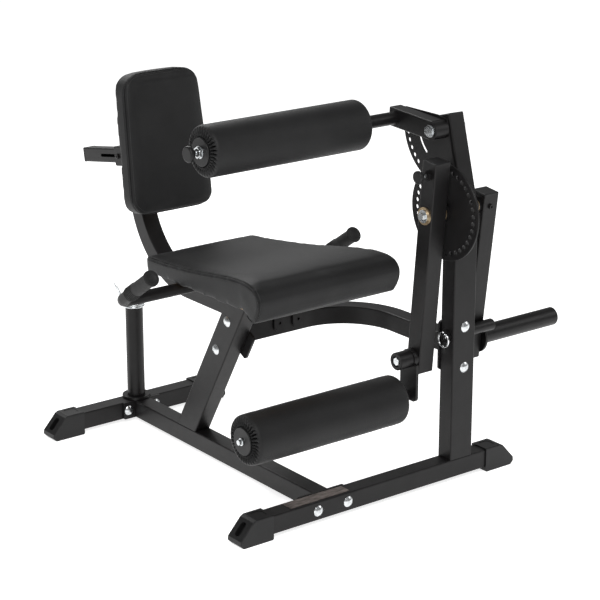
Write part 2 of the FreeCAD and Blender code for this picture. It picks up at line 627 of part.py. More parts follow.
# ---- ankle hanger and lower roller ------------------------------------------
lean = math.radians(LEG_LEAN)
ankle_y = PIVOT_Y + ANKLE_DROP * math.sin(lean)
ankle_z = PIVOT_Z - ANKLE_DROP * math.cos(lean)
axle_z = ankle_z - LOWER_AXLE_DROP
strap = bar(64, LOWER_AXLE_DROP + 34, 0, 8, 12)
strap.rotate(V(0, 0, 0), V(0, 0, 1), 90)
strap.rotate(V(0, 0, 0), V(0, 1, 0), 90)
strap.translate(V(292, ankle_y, (ankle_z + axle_z) / 2 + 5))
round_top = rod_x(280, 310, ankle_y, ankle_z, 26.0)
lower_part = box(280, 310, ankle_y - 40, ankle_y + 40, axle_z - 60, ankle_z - 12)
strap = strap.common(round_top.fuse(lower_part))
boss = rod_x(250, LEG_X - 0.6, ankle_y, ankle_z, 23.5)
boss = soften(boss, 2.0, lambda e: e.BoundBox.XMax < 251)
boss = boss.cut(rod_x(249, 260.3, ankle_y, ankle_z, 14.2))
hole = rod_x(245, 312, ankle_y, ankle_z, 8.06)
hanger = strap.fuse(boss).cut(hole)

washer = rod_x(257.5, 260, ankle_y, ankle_z, 13.8)
head = hexagon(250, 257.5, ankle_y, ankle_z, 19.0)
ball = Part.makeSphere(12.6, V(257.5, ankle_y, ankle_z))
head = head.common(ball)
shank = rod_x(260, 370, ankle_y, ankle_z, 8.0)
nut = hexagon(LEG_X + TUBE, LEG_X + TUBE + 10, ankle_y, ankle_z, 24.0)
nut = nut.cut(rod_x(350, 380, ankle_y, ankle_z, 8.0))
parts["ankle_bolt"] = washer.fuse([head, shank, nut])

axle_free = ROLLER_RIGHT + 0.4
axle = rod_x(axle_free, 300, ankle_y, axle_z, 12.0)
tap = rod_x(axle_free - 1, axle_free + 26, ankle_y, axle_z, 5.0)
lock = rod_x(ROLLER_LEFT + 5.6, ROLLER_LEFT + 11.6, ankle_y, axle_z, 18.0)
parts["ankle_hanger"] = hanger.fuse([axle, lock]).cut(tap)
parts["lower_axle_bolt"] = end_bolt(ROLLER_RIGHT - 5.6, -1, ankle_y, axle_z, 9.5, 13.0, 28)


def roller_core(y, z, bore_radius, end_bore):
    # Plastic spool: hub tube with a flat disc at each end. The disc on the
    # user's right closes the bore down to the size of the axle's stud.
    hub = rod_x(ROLLER_RIGHT - 4, ROLLER_LEFT, y, z, bore_radius + 6)
    discs = []
    for a in (ROLLER_RIGHT - 5, ROLLER_LEFT):
        disc = rod_x(a, a + 5, y, z, ROLLER_END_DISC)
        discs.append(disc.makeFillet(1.8, [e for e in disc.Edges if e.BoundBox.XLength < 0.1]))
    bores = [rod_x(ROLLER_RIGHT, 300, y, z, bore_radius)]
    bores.append(rod_x(-300, ROLLER_RIGHT + 1, y, z, end_bore))
    return hub.fuse(discs).cut(bores)


def roller_pad(y, z, bore_radius):
    # Upholstered foam tube, ends rolled over towards the spool discs.
    body = rod_x(ROLLER_RIGHT + 0.5, ROLLER_LEFT - 0.5, y, z, ROLLER_RADIUS)
    body = body.makeFillet(18.0, [e for e in body.Edges if e.BoundBox.XLength < 0.1])
    return body.cut(rod_x(-300, 300, y, z, bore_radius + 6.4))


parts["lower_roller_core"] = roller_core(ankle_y, axle_z, 12.06, 5.03)
parts["lower_roller_pad"] = roller_pad(ankle_y, axle_z, 12.06)

# ---- thigh arm and upper roller ----------------------------------------------
thigh_mid = THIGH_X + THIGH_WIDE / 2
arm = tube(THIGH_WIDE, TUBE, 0, THIGH_REACH + 22)
arm = lay_y(arm, thigh_mid, 0)
arm.translate(V(0, THIGH_Y, THIGH_Z))
boss = rod_x(THIGH_X, QUADRANT_FACE - 0.5, THIGH_Y, THIGH_Z, 24.0)
blind = box(THIGH_X + 1, THIGH_X + THIGH_WIDE - 1, THIGH_Y + THIGH_REACH + 19, THIGH_Y + THIGH_REACH + 22,
            THIGH_Z - 24, THIGH_Z + 24)
guide = rod_x(THIGH_X + 37, UPRIGHT_LEFT - TUBE + 3, THIGH_Y + GUIDE_RADIUS, THIGH_Z, 4.8)
arm = arm.fuse([boss, blind, guide])
arm = arm.cut([rod_x(350, 430, THIGH_Y, THIGH_Z, 8.06),
               rod_x(350, 430, THIGH_Y + THIGH_REACH, THIGH_Z, 17.0)])
parts["thigh_arm"] = tip(arm, THIGH_Y, THIGH_Z, THIGH_RISE)

upper_y, upper_z = polar(THIGH_Y, THIGH_Z, THIGH_REACH, THIGH_RISE)
axle = ring_x(ROLLER_RIGHT + 0.4, THIGH_X + THIGH_WIDE, upper_y, upper_z, 17.0, PIN_RADIUS + 0.06)
stud = ring_x(ROLLER_RIGHT - 14.5, ROLLER_RIGHT + 0.4, upper_y, upper_z, 10.0, PIN_RADIUS + 0.06)
lock = ring_x(ROLLER_LEFT + 5.6, ROLLER_LEFT + 11.6, upper_y, upper_z, 24.0, 10.0)
parts["thigh_axle"] = axle.fuse([lock, stud])
nut = hexagon(ROLLER_RIGHT - 14, ROLLER_RIGHT - 7.1, upper_y, upper_z, 26.0)
ball = Part.makeSphere(16.0, V(ROLLER_RIGHT - 7.1, upper_y, upper_z))
washer = rod_x(ROLLER_RIGHT - 7.1, ROLLER_RIGHT - 5.6, upper_y, upper_z, 15.5)
nut = nut.common(ball).fuse(washer).cut(rod_x(-300, -200, upper_y, upper_z, 10.0))
parts["thigh_axle_nut"] = nut

head = hexagon(360, 367, THIGH_Y, THIGH_Z, 24.0)
washer = rod_x(367, THIGH_X - 0.5, THIGH_Y, THIGH_Z, 16.0)
shank = rod_x(367, UPRIGHT_LEFT + 14, THIGH_Y, THIGH_Z, 8.0)
nut = hexagon(UPRIGHT_LEFT + 0.5, UPRIGHT_LEFT + 11, THIGH_Y, THIGH_Z, 24.0)
parts["thigh_pivot_bolt"] = head.fuse([washer, shank, nut]).removeSplitter()

rod_tip = QUADRANT_FACE - 0.5
pull = rod_x(ROLLER_RIGHT - 34, rod_tip, upper_y, upper_z, PIN_RADIUS)
pull = pull.makeChamfer(1.0, [e for e in pull.Edges if e.BoundBox.XMin > rod_tip - 1])
parts["pull_rod"] = pull
head = knob(ROLLER_RIGHT - 24, ROLLER_RIGHT - 44, upper_y, upper_z, 10.0, 20.5)
parts["pull_knob"] = head.cut(rod_x(ROLLER_RIGHT - 34, 0, upper_y, upper_z, PIN_RADIUS))

parts["upper_roller_core"] = roller_core(upper_y, upper_z, 17.06, 10.06)
parts["upper_roller_pad"] = roller_pad(upper_y, upper_z, 17.06)

# ---- stop pin ---------------------------------------------------------------
pin = rod_x(UPRIGHT_RIGHT - 8, STOP_TIP, STOP_Y, STOP_Z, STOP_RADIUS)
pin = soften(pin, 2.5, lambda e: e.BoundBox.XMin > STOP_TIP - 1)
nose = rod_x(UPRIGHT_RIGHT - 17, UPRIGHT_RIGHT - 8, STOP_Y, STOP_Z, 7.0)
parts["stop_pin"] = pin.fuse(nose)
hoop = Part.makeTorus(19.0, 2.2, V(UPRIGHT_RIGHT - 11.5, STOP_Y, STOP_Z - 9.2), V(1, 0, 0))
eye = ring_x(UPRIGHT_RIGHT - 14.5, UPRIGHT_RIGHT - 8.5, STOP_Y, STOP_Z, 10.4, 7.0)
parts["stop_ring"] = hoop.fuse(eye)

# ---- backrest support -------------------------------------------------------
run = lay_y(tube(TUBE, TUBE, 380, J_BEND_Y), 0, J_RUN_Z)
section = hollow_face(TUBE, TUBE, WALL, TUBE_CORNER)
section.rotate(V(0, 0, 0), V(1, 0, 0), -90)
section.translate(V(0, J_BEND_Y, J_RUN_Z))
bend = section.revolve(V(0, J_BEND_Y, J_RUN_Z + J_BEND), V(1, 0, 0), 90)
riser = tube(TUBE, TUBE, J_RUN_Z + J_BEND, 790)
riser.translate(V(0, J_BEND_Y + J_BEND, 0))
slide = math.radians(SLIDE_TILT)


def on_slide(shape):
    # Shapes built along Y with their axis through zero are put on the slide
    # line, y measured from the rear end of the sliding tube.
    shape.rotate(V(0, 0, 0), V(1, 0, 0), -SLIDE_TILT)
    shape.translate(V(0, SLIDE_END_Y, SLIDE_END_Z))
    return shape


def slide_pos(y):
    return (y - SLIDE_END_Y) / math.cos(slide)


sleeve_rear = slide_pos(SLEEVE_REAR_Y)
sleeve_front = slide_pos(SLEEVE_FRONT_Y)
sleeve_core = on_slide(lay_y(bar(SLEEVE_BOX, SLEEVE_BOX, sleeve_front, sleeve_rear), 0, 0))
j_tube = run.fuse([bend, riser]).cut([seat_post_core, sleeve_core])
j_tube = j_tube.cut(box(-40, 40, 700, 1000, 755.5, 900))
j_tube = j_tube.cut(box(-40, 40, 200, 400, 400, 500))
solids = sorted(j_tube.Solids, key=lambda s: s.Volume)
parts["backrest_tube"] = solids[-1]

guide_y = slide_pos(930)
knob_y = slide_pos(886)
sleeve = lay_y(tube(SLEEVE_BOX, SLEEVE_BOX, sleeve_front, sleeve_rear), 0, 0)
sleeve = sleeve.cut([rod_x(-40, -20, guide_y, 0, 4.1), rod_x(20, 40, knob_y, 0, 5.1)])
parts["backrest_sleeve"] = on_slide(sleeve)

liner_wall = (SLEEVE_BOX - 2 * WALL - SLIDE_TUBE) / 2 - 0.1
liner_wide = SLEEVE_BOX - 2 * WALL - 0.1
liner = lay_y(tube(liner_wide, liner_wide, sleeve_front, sleeve_rear, liner_wall, 2.5), 0, 0)
collar = lay_y(tube(SLEEVE_BOX, SLEEVE_BOX, 0, 4, 7.4, 5), 0, 0)
front_collar = collar.copy()
collar.translate(V(0, sleeve_rear, 0))
front_collar.translate(V(0, sleeve_front - 4, 0))
liner = liner.fuse([collar, front_collar])
liner = liner.cut([rod_x(-40, -15, guide_y, 0, 4.1), rod_x(15, 40, knob_y, 0, 5.1)])
parts["sleeve_liner"] = on_slide(liner)

screw = rod_x(-33, -SLEEVE_BOX / 2, guide_y, 0, 7.5)
screw = soften(screw, 2.5, lambda e: e.BoundBox.XMax < -32)
socket = rod_x(-34, -30, guide_y, 0, 2.6)
stem = rod_x(-SLEEVE_BOX / 2, -17.5, guide_y, 0, 4.0)
parts["guide_screw"] = on_slide(screw.fuse(stem).cut(socket))

knob_shape = knob(SLEEVE_BOX / 2 + 8, SLEEVE_BOX / 2 + 36, knob_y, 0, 12.0, 24.0)
stem = rod_x(SLIDE_TUBE / 2 + 0.4, SLEEVE_BOX / 2 + 12, knob_y, 0, 5.0)
parts["lock_knob"] = on_slide(knob_shape.fuse(stem).removeSplitter())

# ---- backrest carriage ------------------------------------------------------
slide_front = slide_pos(SLIDE_FRONT_Y)
slider = lay_y(tube(SLIDE_TUBE, SLIDE_TUBE, slide_front - 12, 0, 2.5, 4), 0, 0)
slot_rear = slide_pos(1030)
slot_front = guide_y - 4.5
slot = box(-30, -10, slot_front, slot_rear, -4.3, 4.3)
slot = soften(slot, 4.25, lambda e: e.BoundBox.XLength > 1)
slider = on_slide(slider.cut(slot))


def on_pad(shape):
    # Pad shapes are built upright about the middle of the pad front face.
    shape.rotate(V(0, 0, 0), V(1, 0, 0), -PAD_LEAN)
    shape.translate(V(0, PAD_MID_Y, PAD_MID_Z))
    return shape


pad_back = PAD_THICK + PAD_BOARD
mount_plate = box(-50, 50, pad_back, pad_back + 5, -117, 13)
mount_plate = soften(mount_plate, 10.0, lambda e: e.BoundBox.YLength > 1)
mount_plate = on_pad(mount_plate)
ahead = on_pad(box(-60, 60, pad_back - 60, pad_back, -200, 200))
parts["slider_tube"] = slider.cut(ahead).fuse(mount_plate).removeSplitter()
cap = end_cap(14, 4, SLIDE_TUBE + 1, SLIDE_TUBE + 1)
parts["slider_cap"] = on_slide(lay_y(cap, 0, 0))


def pad_plan(inset, near, far, corner):
    # Pad outline, narrower at the top, given a thickness from near to far.
    low = PAD_LOW_HALF - inset
    high = PAD_TOP_HALF - inset
    tall = PAD_TALL / 2 - inset
    ring = [V(-low, near, -tall), V(low, near, -tall), V(high, near, tall), V(-high, near, tall)]
    solid = Part.Face(Part.makePolygon(ring + [ring[0]])).extrude(V(0, far - near, 0))
    return soften(solid, corner, lambda e: e.BoundBox.YLength > 1)


parts["back_board"] = on_pad(pad_plan(PAD_WRAP + 0.3, PAD_THICK + 0.3, pad_back, 20.0))
cushion = pad_plan(0, 0, pad_back, 32.0)
front_rim = [e for e in cushion.Edges if e.BoundBox.YMax < 0.1]
cushion = cushion.makeFillet(14.0, front_rim)
cushion = cushion.cut(pad_plan(PAD_WRAP, PAD_THICK, pad_back + 5, 20.3))
parts["back_cushion"] = on_pad(cushion)

# ---- seat -------------------------------------------------------------------
def seat_plan(inset, low, high, front, rear, corner):
    # Seat outline, narrower at the rear, with its rear corners rounded.
    half_front = SEAT_FRONT_HALF - inset
    half_rear = SEAT_REAR_HALF - inset
    middle = SEAT_CENTRE
    ring = [V(middle - half_front, front, low), V(middle + half_front, front, low)]
    ring = ring + [V(middle + half_rear, rear, low), V(middle - half_rear, rear, low)]
    face = Part.Face(Part.makePolygon(ring + [ring[0]]))
    solid = face.extrude(V(0, 0, high - low))
    return soften(solid, corner, lambda e: not near_plan(e) and e.Vertexes[0].Y > front + 50)


def on_seat(shape):
    # The board rises towards the front about the seat post's top plate.
    return tip(shape, SEAT_HINGE_Y, SEAT_BOARD_LOW, -SEAT_RISE)


board_high = SEAT_BOARD_LOW + SEAT_BOARD
board_rear = SEAT_REAR - SEAT_WRAP - 0.3
board = seat_plan(SEAT_WRAP + 0.3, SEAT_BOARD_LOW, board_high, SEAT_BOARD_FRONT, board_rear, 28)
parts["seat_board"] = on_seat(board)
room = seat_plan(SEAT_WRAP, 480, board_high + 0.3, SEAT_BOARD_FRONT - 0.3, board_rear + 0.3, 28.3)

# Side outline of the cushion: flat below, a front roll hanging over the board.
cover = Part.BSplineCurve()
cover.interpolate([
    V(0, 104, 544),
    V(0, 92, 534),
    V(0, 80, 523),
    V(0, 66, 519),
    V(0, 52, 523),
    V(0, 38, 541),
    V(0, 29, 558),
    V(0, SEAT_FRONT + 1, 575),
    V(0, 29, 592),
    V(0, 42, 606),
    V(0, 64, 614),
    V(0, 95, 618),
    V(0, 140, 618),
    V(0, 200, 613),
    V(0, 260, 606),
    V(0, 330, 598),
    V(0, 400, 592),
    V(0, 480, 587),
    V(0, 560, 584),
    V(0, 600, 581),
    V(0, 616, 572),
    V(0, SEAT_REAR, 560),
    V(0, 616, 544),
])
underside = Part.makeLine(V(0, 616, 544), V(0, 104, 544))
side = Part.Face(Part.Wire([cover.toShape(), underside]))
side.translate(V(-300, 0, 0))
slab = side.extrude(V(600, 0, 0))
plan = seat_plan(0, 480, 700, SEAT_FRONT - 3, SEAT_REAR + 2, 42)
parts["seat_cushion"] = on_seat(slab.common(plan).cut(room))

# ---- handles ----------------------------------------------------------------
reach = HANDLE_REACH
b = HANDLE_BEND
k = b * (1 - math.sqrt(0.5))
path = Part.Wire([
    Part.makeLine(V(-HANDLE_HALF, reach, 0), V(-HANDLE_HALF, b, 0)),
    Part.Arc(V(-HANDLE_HALF, b, 0), V(k - HANDLE_HALF, k, 0), V(b - HANDLE_HALF, 0, 0)).toShape(),
    Part.makeLine(V(b - HANDLE_HALF, 0, 0), V(HANDLE_HALF - b, 0, 0)),
    Part.Arc(V(HANDLE_HALF - b, 0, 0), V(HANDLE_HALF - k, k, 0), V(HANDLE_HALF, b, 0)).toShape(),
    Part.makeLine(V(HANDLE_HALF, b, 0), V(HANDLE_HALF, reach, 0)),
])
start = V(-HANDLE_HALF, reach, 0)
outer = Part.Wire(Part.makeCircle(HANDLE_RADIUS, start, V(0, 1, 0)))
inner = Part.Wire(Part.makeCircle(HANDLE_RADIUS - 2, start, V(0, 1, 0)))
handle = path.makePipeShell([outer], True, True).cut(path.makePipeShell([inner], True, True))


def on_handle(shape):
    # The handle loop is built flat with its arms towards +Y, then turned so
    # that the arms point forward and up.
    shape.rotate(V(0, 0, 0), V(0, 0, 1), 180)
    shape.rotate(V(0, 0, 0), V(1, 0, 0), -HANDLE_RISE)
    shape.translate(V(HANDLE_CENTRE, HANDLE_Y, HANDLE_Z))
    return shape


handle = on_handle(handle)
handle_core = rod_x(-100, 100, HANDLE_Y, HANDLE_Z, HANDLE_RADIUS - 1)
saddle = box(-22, 22, HANDLE_Y - 13, HANDLE_Y + 13, J_RUN_Z + TUBE / 2, HANDLE_Z)
parts["handle_bar"] = handle.fuse(saddle.cut(handle_core))


def grip(x):
    # Ribbed hand grip with a round flange at its closed, dished outer end.
    start = reach - GRIP_LONG
    body = rod(x, start, 0, V(0, 1, 0), 18.5, GRIP_LONG + 3)
    flange = rod(x, reach - 3, 0, V(0, 1, 0), 21.5, 7)
    flange = flange.makeFillet(2.0, [e for e in flange.Edges if e.BoundBox.YLength < 0.1])
    dish = Part.makeSphere(30.0, V(x, reach + 30.5, 0))
    ribs = []
    for step in range(6):
        at = start + 6 + step * 6.5
        ribs.append(Part.makeTorus(18.3, 1.7, V(x, at, 0), V(0, 1, 0)))
    hole = rod(x, start - 5, 0, V(0, 1, 0), HANDLE_RADIUS + 0.05, GRIP_LONG + 5.05)
    return on_handle(body.fuse([flange] + ribs).cut([hole, dish]))


parts["handle_grip_right"] = grip(HANDLE_HALF)
parts["handle_grip_left"] = grip(-HANDLE_HALF)

# ---- write ------------------------------------------------------------------
os.makedirs("parts", exist_ok=True)
for name in sorted(parts):
    shape = parts[name]
    shape.translate(V(-PLAN_CENTRE_X, -PLAN_CENTRE_Y, 0))
    shape.exportStep("parts/" + name + ".step")
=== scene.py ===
import json
import math

import bmesh
import bpy
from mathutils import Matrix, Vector
from mathutils.bvhtree import BVHTree
from mathutils.kdtree import KDTree


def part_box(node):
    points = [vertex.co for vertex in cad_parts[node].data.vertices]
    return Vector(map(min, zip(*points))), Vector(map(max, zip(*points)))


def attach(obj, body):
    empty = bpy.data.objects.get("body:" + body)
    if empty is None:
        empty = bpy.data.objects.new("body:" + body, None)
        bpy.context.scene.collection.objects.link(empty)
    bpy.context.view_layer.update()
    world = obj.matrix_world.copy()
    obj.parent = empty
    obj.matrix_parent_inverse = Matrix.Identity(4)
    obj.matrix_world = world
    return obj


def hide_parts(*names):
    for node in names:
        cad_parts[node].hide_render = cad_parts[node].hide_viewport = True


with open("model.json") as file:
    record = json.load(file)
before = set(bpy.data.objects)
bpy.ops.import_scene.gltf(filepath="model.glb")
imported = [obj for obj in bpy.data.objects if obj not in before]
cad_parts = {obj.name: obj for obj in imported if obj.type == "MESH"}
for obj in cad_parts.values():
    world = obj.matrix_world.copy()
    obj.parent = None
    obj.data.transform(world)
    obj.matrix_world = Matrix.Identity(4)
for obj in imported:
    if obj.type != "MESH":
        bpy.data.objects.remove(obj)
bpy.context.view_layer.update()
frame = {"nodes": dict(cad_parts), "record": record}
nodes = frame["nodes"]
scene = bpy.context.scene

# Row frame: metres, +Z up, the user faces -Y, +X is the user's left.
# The spine's centreline and the front of the front cross tube, in that frame.
SEAT_X = (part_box("spine_tube")[0][0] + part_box("spine_tube")[1][0]) / 2
FRONT_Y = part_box("front_cross_tube")[0][1]


def at(x, y, z):
    # A point in millimetres from the spine centreline, the front tube and the floor.
    return Vector((SEAT_X + x / 1000, FRONT_Y + y / 1000, z / 1000))


# ---- materials ----------------------------------------------------------------
def new_material(name, colour, roughness, metallic=0.0):
    mat = bpy.data.materials.new(name)
    mat.use_nodes = True
    tree = mat.node_tree
    shader = tree.nodes["Principled BSDF"]
    shader.inputs["Base Color"].default_value = (*colour, 1)
    shader.inputs["Roughness"].default_value = roughness
    shader.inputs["Metallic"].default_value = metallic
    coords = tree.nodes.new("ShaderNodeTexCoord")
    return mat, tree, shader, coords.outputs["Object"]


def noise(tree, where, scale, detail=3.0, stretch=None):
    if stretch:
        mapping = tree.nodes.new("ShaderNodeMapping")
        mapping.inputs["Scale"].default_value = stretch
        tree.links.new(where, mapping.inputs["Vector"])
        where = mapping.outputs["Vector"]
    node = tree.nodes.new("ShaderNodeTexNoise")
    node.inputs["Scale"].default_value = scale
    node.inputs["Detail"].default_value = detail
    tree.links.new(where, node.inputs["Vector"])
    return node.outputs["Fac"]


def cells(tree, where, scale):
    node = tree.nodes.new("ShaderNodeTexVoronoi")
    node.feature = "DISTANCE_TO_EDGE"
    node.inputs["Scale"].default_value = scale
    tree.links.new(where, node.inputs["Vector"])
    return node.outputs["Distance"]


def spread(tree, value, low, high, start=0.0, end=1.0):
    node = tree.nodes.new("ShaderNodeMapRange")
    node.inputs["From Min"].default_value = start
    node.inputs["From Max"].default_value = end
    node.inputs["To Min"].default_value = low
    node.inputs["To Max"].default_value = high
    tree.links.new(value, node.inputs["Value"])
    return node.outputs["Result"]


def tint(tree, value, dark, light, start=0.3, end=0.7):
    node = tree.nodes.new("ShaderNodeValToRGB")
    node.color_ramp.elements[0].position = start
    node.color_ramp.elements[1].position = end
    node.color_ramp.elements[0].color = (*dark, 1)
    node.color_ramp.elements[1].color = (*light, 1)
    tree.links.new(value, node.inputs["Fac"])
    return node.outputs["Color"]


def bumps(tree, shader, layers):
    # layers: (value, distance in metres, strength), one bump over another.
    last = None
    for value, distance, strength in layers:
        node = tree.nodes.new("ShaderNodeBump")
        node.inputs["Distance"].default_value = distance
        node.inputs["Strength"].default_value = strength
        tree.links.new(value, node.inputs["Height"])
        if last:
            tree.links.new(last, node.inputs["Normal"])
        last = node.outputs["Normal"]
    tree.links.new(last, shader.inputs["Normal"])


def powder_coat():
    mat, tree, shader, where = new_material("black_powder_coat", (0.007, 0.0065, 0.007), 0.36)
    shader.inputs["Specular IOR Level"].default_value = 0.24
    fine = noise(tree, where, 900, 2)
    broad = noise(tree, where, 14, 3)
    colour = tint(tree, broad, (0.0052, 0.0048, 0.005), (0.0085, 0.0079, 0.0082))
    tree.links.new(colour, shader.inputs["Base Color"])
    tree.links.new(spread(tree, noise(tree, where, 60, 4), 0.34, 0.47), shader.inputs["Roughness"])
    bumps(tree, shader, [(fine, 0.00025, 0.35), (noise(tree, where, 260, 2), 0.0003, 0.18)])
    return mat


def vinyl(name="vinyl", dark=(0.0085, 0.0085, 0.0088), light=(0.0125, 0.0125, 0.0128)):
    mat, tree, shader, where = new_material(name, light, 0.5)
    grain = cells(tree, where, 620)
    pores = noise(tree, where, 1500, 2)
    soft = noise(tree, where, 11, 3)
    tree.links.new(tint(tree, soft, dark, light), shader.inputs["Base Color"])
    tree.links.new(spread(tree, grain, 0.6, 0.46, 0.0, 0.4), shader.inputs["Roughness"])
    shader.inputs["Specular IOR Level"].default_value = 0.22
    shader.inputs["Sheen Weight"].default_value = 0.03
    shader.inputs["Sheen Roughness"].default_value = 0.5
    bumps(tree, shader, [(soft, 0.002, 0.12), (grain, 0.0004, 0.4), (pores, 0.0002, 0.3)])
    return mat


def plastic():
    mat, tree, shader, where = new_material("black_plastic", (0.007, 0.007, 0.0073), 0.46)
    shader.inputs["Specular IOR Level"].default_value = 0.3
    fine = noise(tree, where, 1300, 2)
    tree.links.new(spread(tree, noise(tree, where, 40, 3), 0.4, 0.54), shader.inputs["Roughness"])
    tree.links.new(tint(tree, noise(tree, where, 20, 2), (0.006, 0.006, 0.0063), (0.009, 0.009, 0.0093)),
                   shader.inputs["Base Color"])
    bumps(tree, shader, [(fine, 0.0002, 0.45)])
    return mat


def rubber():
    mat, tree, shader, where = new_material("grip_rubber", (0.009, 0.009, 0.009), 0.62)
    shader.inputs["Specular IOR Level"].default_value = 0.3
    tree.links.new(spread(tree, noise(tree, where, 90, 3), 0.52, 0.7), shader.inputs["Roughness"])
    tree.links.new(tint(tree, noise(tree, where, 30, 3), (0.009, 0.009, 0.009), (0.014, 0.014, 0.014)),
                   shader.inputs["Base Color"])
    bumps(tree, shader, [(noise(tree, where, 1100, 2), 0.0002, 0.5)])
    return mat


def metal(name, dark, light, low, high, grain, strength):
    mat, tree, shader, where = new_material(name, light, low, 1.0)
    patch = noise(tree, where, 120, 4)
    tree.links.new(tint(tree, patch, dark, light), shader.inputs["Base Color"])
    tree.links.new(spread(tree, noise(tree, where, grain, 3), low, high), shader.inputs["Roughness"])
    bumps(tree, shader, [(noise(tree, where, grain * 2, 3), 0.0002, strength)])
    return mat


def brushed_plate():
    mat, tree, shader, where = new_material("plate_silver", (0.2, 0.175, 0.14), 0.4, 1.0)
    lines = noise(tree, where, 130, 5, (0.35, 1, 1))
    tree.links.new(tint(tree, lines, (0.13, 0.11, 0.1), (0.36, 0.31, 0.285)), shader.inputs["Base Color"])
    tree.links.new(spread(tree, lines, 0.3, 0.45), shader.inputs["Roughness"])
    bumps(tree, shader, [(lines, 0.0001, 0.3)])
    return mat


def plywood():
    mat, tree, shader, where = new_material("plywood", (0.42, 0.3, 0.18), 0.65)
    plies = noise(tree, where, 8, 2, (1, 1, 60))
    grain = noise(tree, where, 40, 4, (1, 0.08, 1))
    tree.links.new(tint(tree, grain, (0.21, 0.135, 0.075), (0.33, 0.23, 0.14)), shader.inputs["Base Color"])
    bumps(tree, shader, [(grain, 0.0004, 0.4), (plies, 0.0006, 0.5)])
    return mat


looks = {
    "black_powder_coat": powder_coat(),
    "vinyl": vinyl(),
    "black_plastic": plastic(),
    "grip_rubber": rubber(),
    "zinc": metal("zinc", (0.5, 0.52, 0.53), (0.74, 0.76, 0.77),
                  low=0.18, high=0.34, grain=500, strength=0.3),
    "chrome": metal("chrome", (0.74, 0.75, 0.76), (0.84, 0.85, 0.86),
                    low=0.06, high=0.12, grain=200, strength=0.05),
    "bronze": metal("bronze", (0.4, 0.29, 0.17), (0.62, 0.48, 0.31),
                    low=0.32, high=0.5, grain=700, strength=0.35),
    "plate_silver": brushed_plate(),
    "plywood": plywood(),
}
thread = vinyl("thread", (0.03, 0.03, 0.03), (0.045, 0.045, 0.045))
for part in frame["record"]["subparts"]:
    for holder in nodes[part["node"]].material_slots:
        holder.material = looks[part["material_slot"]]


# ---- mesh helpers ---------------------------------------------------------------
def add_object(name, mesh, mat, body):
    piece = bpy.data.objects.new(name, mesh)
    scene.collection.objects.link(piece)
    piece.data.materials.clear()
    piece.data.materials.append(mat)
    for face in mesh.polygons:
        face.use_smooth = True
    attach(piece, body)
    return piece


def apply_modifiers(piece):
    depsgraph = bpy.context.evaluated_depsgraph_get()
    mesh = bpy.data.meshes.new_from_object(piece.evaluated_get(depsgraph))
    piece.modifiers.clear()
    piece.data = mesh


# The cover's swelling: pressure, furthest travel, frames run and rounds of averaging.
PRESSURE = 4.0
SWELL_CAP = 0.005
CLOTH_FRAMES = 20
SWELL_ROUNDS = 14
# How far the pad's rim is drawn down over the board's edge.
RIM_DROP = 0.003


def from_node(name, voxel, shrink, smooth, up, rim):
    # A separate, evenly meshed and slightly smaller copy of a CAD pad. Its rim,
    # rounded by the smoothing, is drawn back down over the edge of the board.
    source = nodes[name]
    mesh = source.data.copy()
    mesh.transform(source.matrix_world)
    piece = bpy.data.objects.new(name + "_soft", mesh)
    scene.collection.objects.link(piece)
    remesh = piece.modifiers.new("even", "REMESH")
    remesh.mode = "VOXEL"
    remesh.voxel_size = voxel
    apply_modifiers(piece)
    soften = piece.modifiers.new("soften", "SMOOTH")
    soften.iterations = smooth
    apply_modifiers(piece)
    normals = [v.normal.copy() for v in piece.data.vertices]
    for vertex, normal in zip(piece.data.vertices, normals):
        # The face against the board stays put, so the board stays covered.
        inward = normal if normal.dot(up) > -0.35 else normal - up * normal.dot(up)
        vertex.co -= inward * shrink
        if rim(vertex):
            vertex.co -= up * RIM_DROP
    return piece


def puff(piece, held):
    # Inflates the pad as sewn fabric; held(v) marks where it rests on its board.
    rest = [v.co.copy() for v in piece.data.vertices]
    normals = [v.normal.copy() for v in piece.data.vertices]
    pinned = [v.index for v in piece.data.vertices if held(v)]
    group = piece.vertex_groups.new(name="held")
    group.add(pinned, 1.0, "REPLACE")
    cloth = piece.modifiers.new("cloth", "CLOTH")
    cloth.settings.vertex_group_mass = "held"
    cloth.settings.use_pressure = True
    cloth.settings.uniform_pressure_force = PRESSURE
    cloth.settings.effector_weights.gravity = 0
    cloth.settings.quality = 5
    cloth.settings.tension_stiffness = 25
    cloth.settings.compression_stiffness = 25
    cloth.settings.bending_stiffness = 4
    for step in range(1, CLOTH_FRAMES + 1):
        scene.frame_set(step)
    apply_modifiers(piece)
    # Only the outward swelling is kept, evened out as a taut cover would be.
    swell = [min(SWELL_CAP, max(0.0, (v.co - start).dot(out)))
             for v, start, out in zip(piece.data.vertices, rest, normals)]
    beside = [[] for _ in swell]
    for edge in piece.data.edges:
        one, two = edge.vertices
        beside[one].append(two)
        beside[two].append(one)
    for _ in range(SWELL_ROUNDS):
        swell = [(swell[i] + sum(swell[k] for k in near) / len(near)) / 2 for i, near in enumerate(beside)]
    for index in pinned:
        swell[index] = 0.0
    for vertex, start, out, grow in zip(piece.data.vertices, rest, normals, swell):
        vertex.co = start + out * grow
    scene.frame_set(1)


def finish_pad(piece, name, body):
    subdivision = piece.modifiers.new("fine", "SUBSURF")
    subdivision.levels = 1
    apply_modifiers(piece)
    piece.name = name
    piece.data.name = name
    piece.data.materials.clear()
    piece.data.materials.append(looks["vinyl"])
    for face in piece.data.polygons:
        face.use_smooth = True
    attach(piece, body)
    return BVHTree.FromPolygons([v.co for v in piece.data.vertices],
                                [tuple(p.vertices) for p in piece.data.polygons])


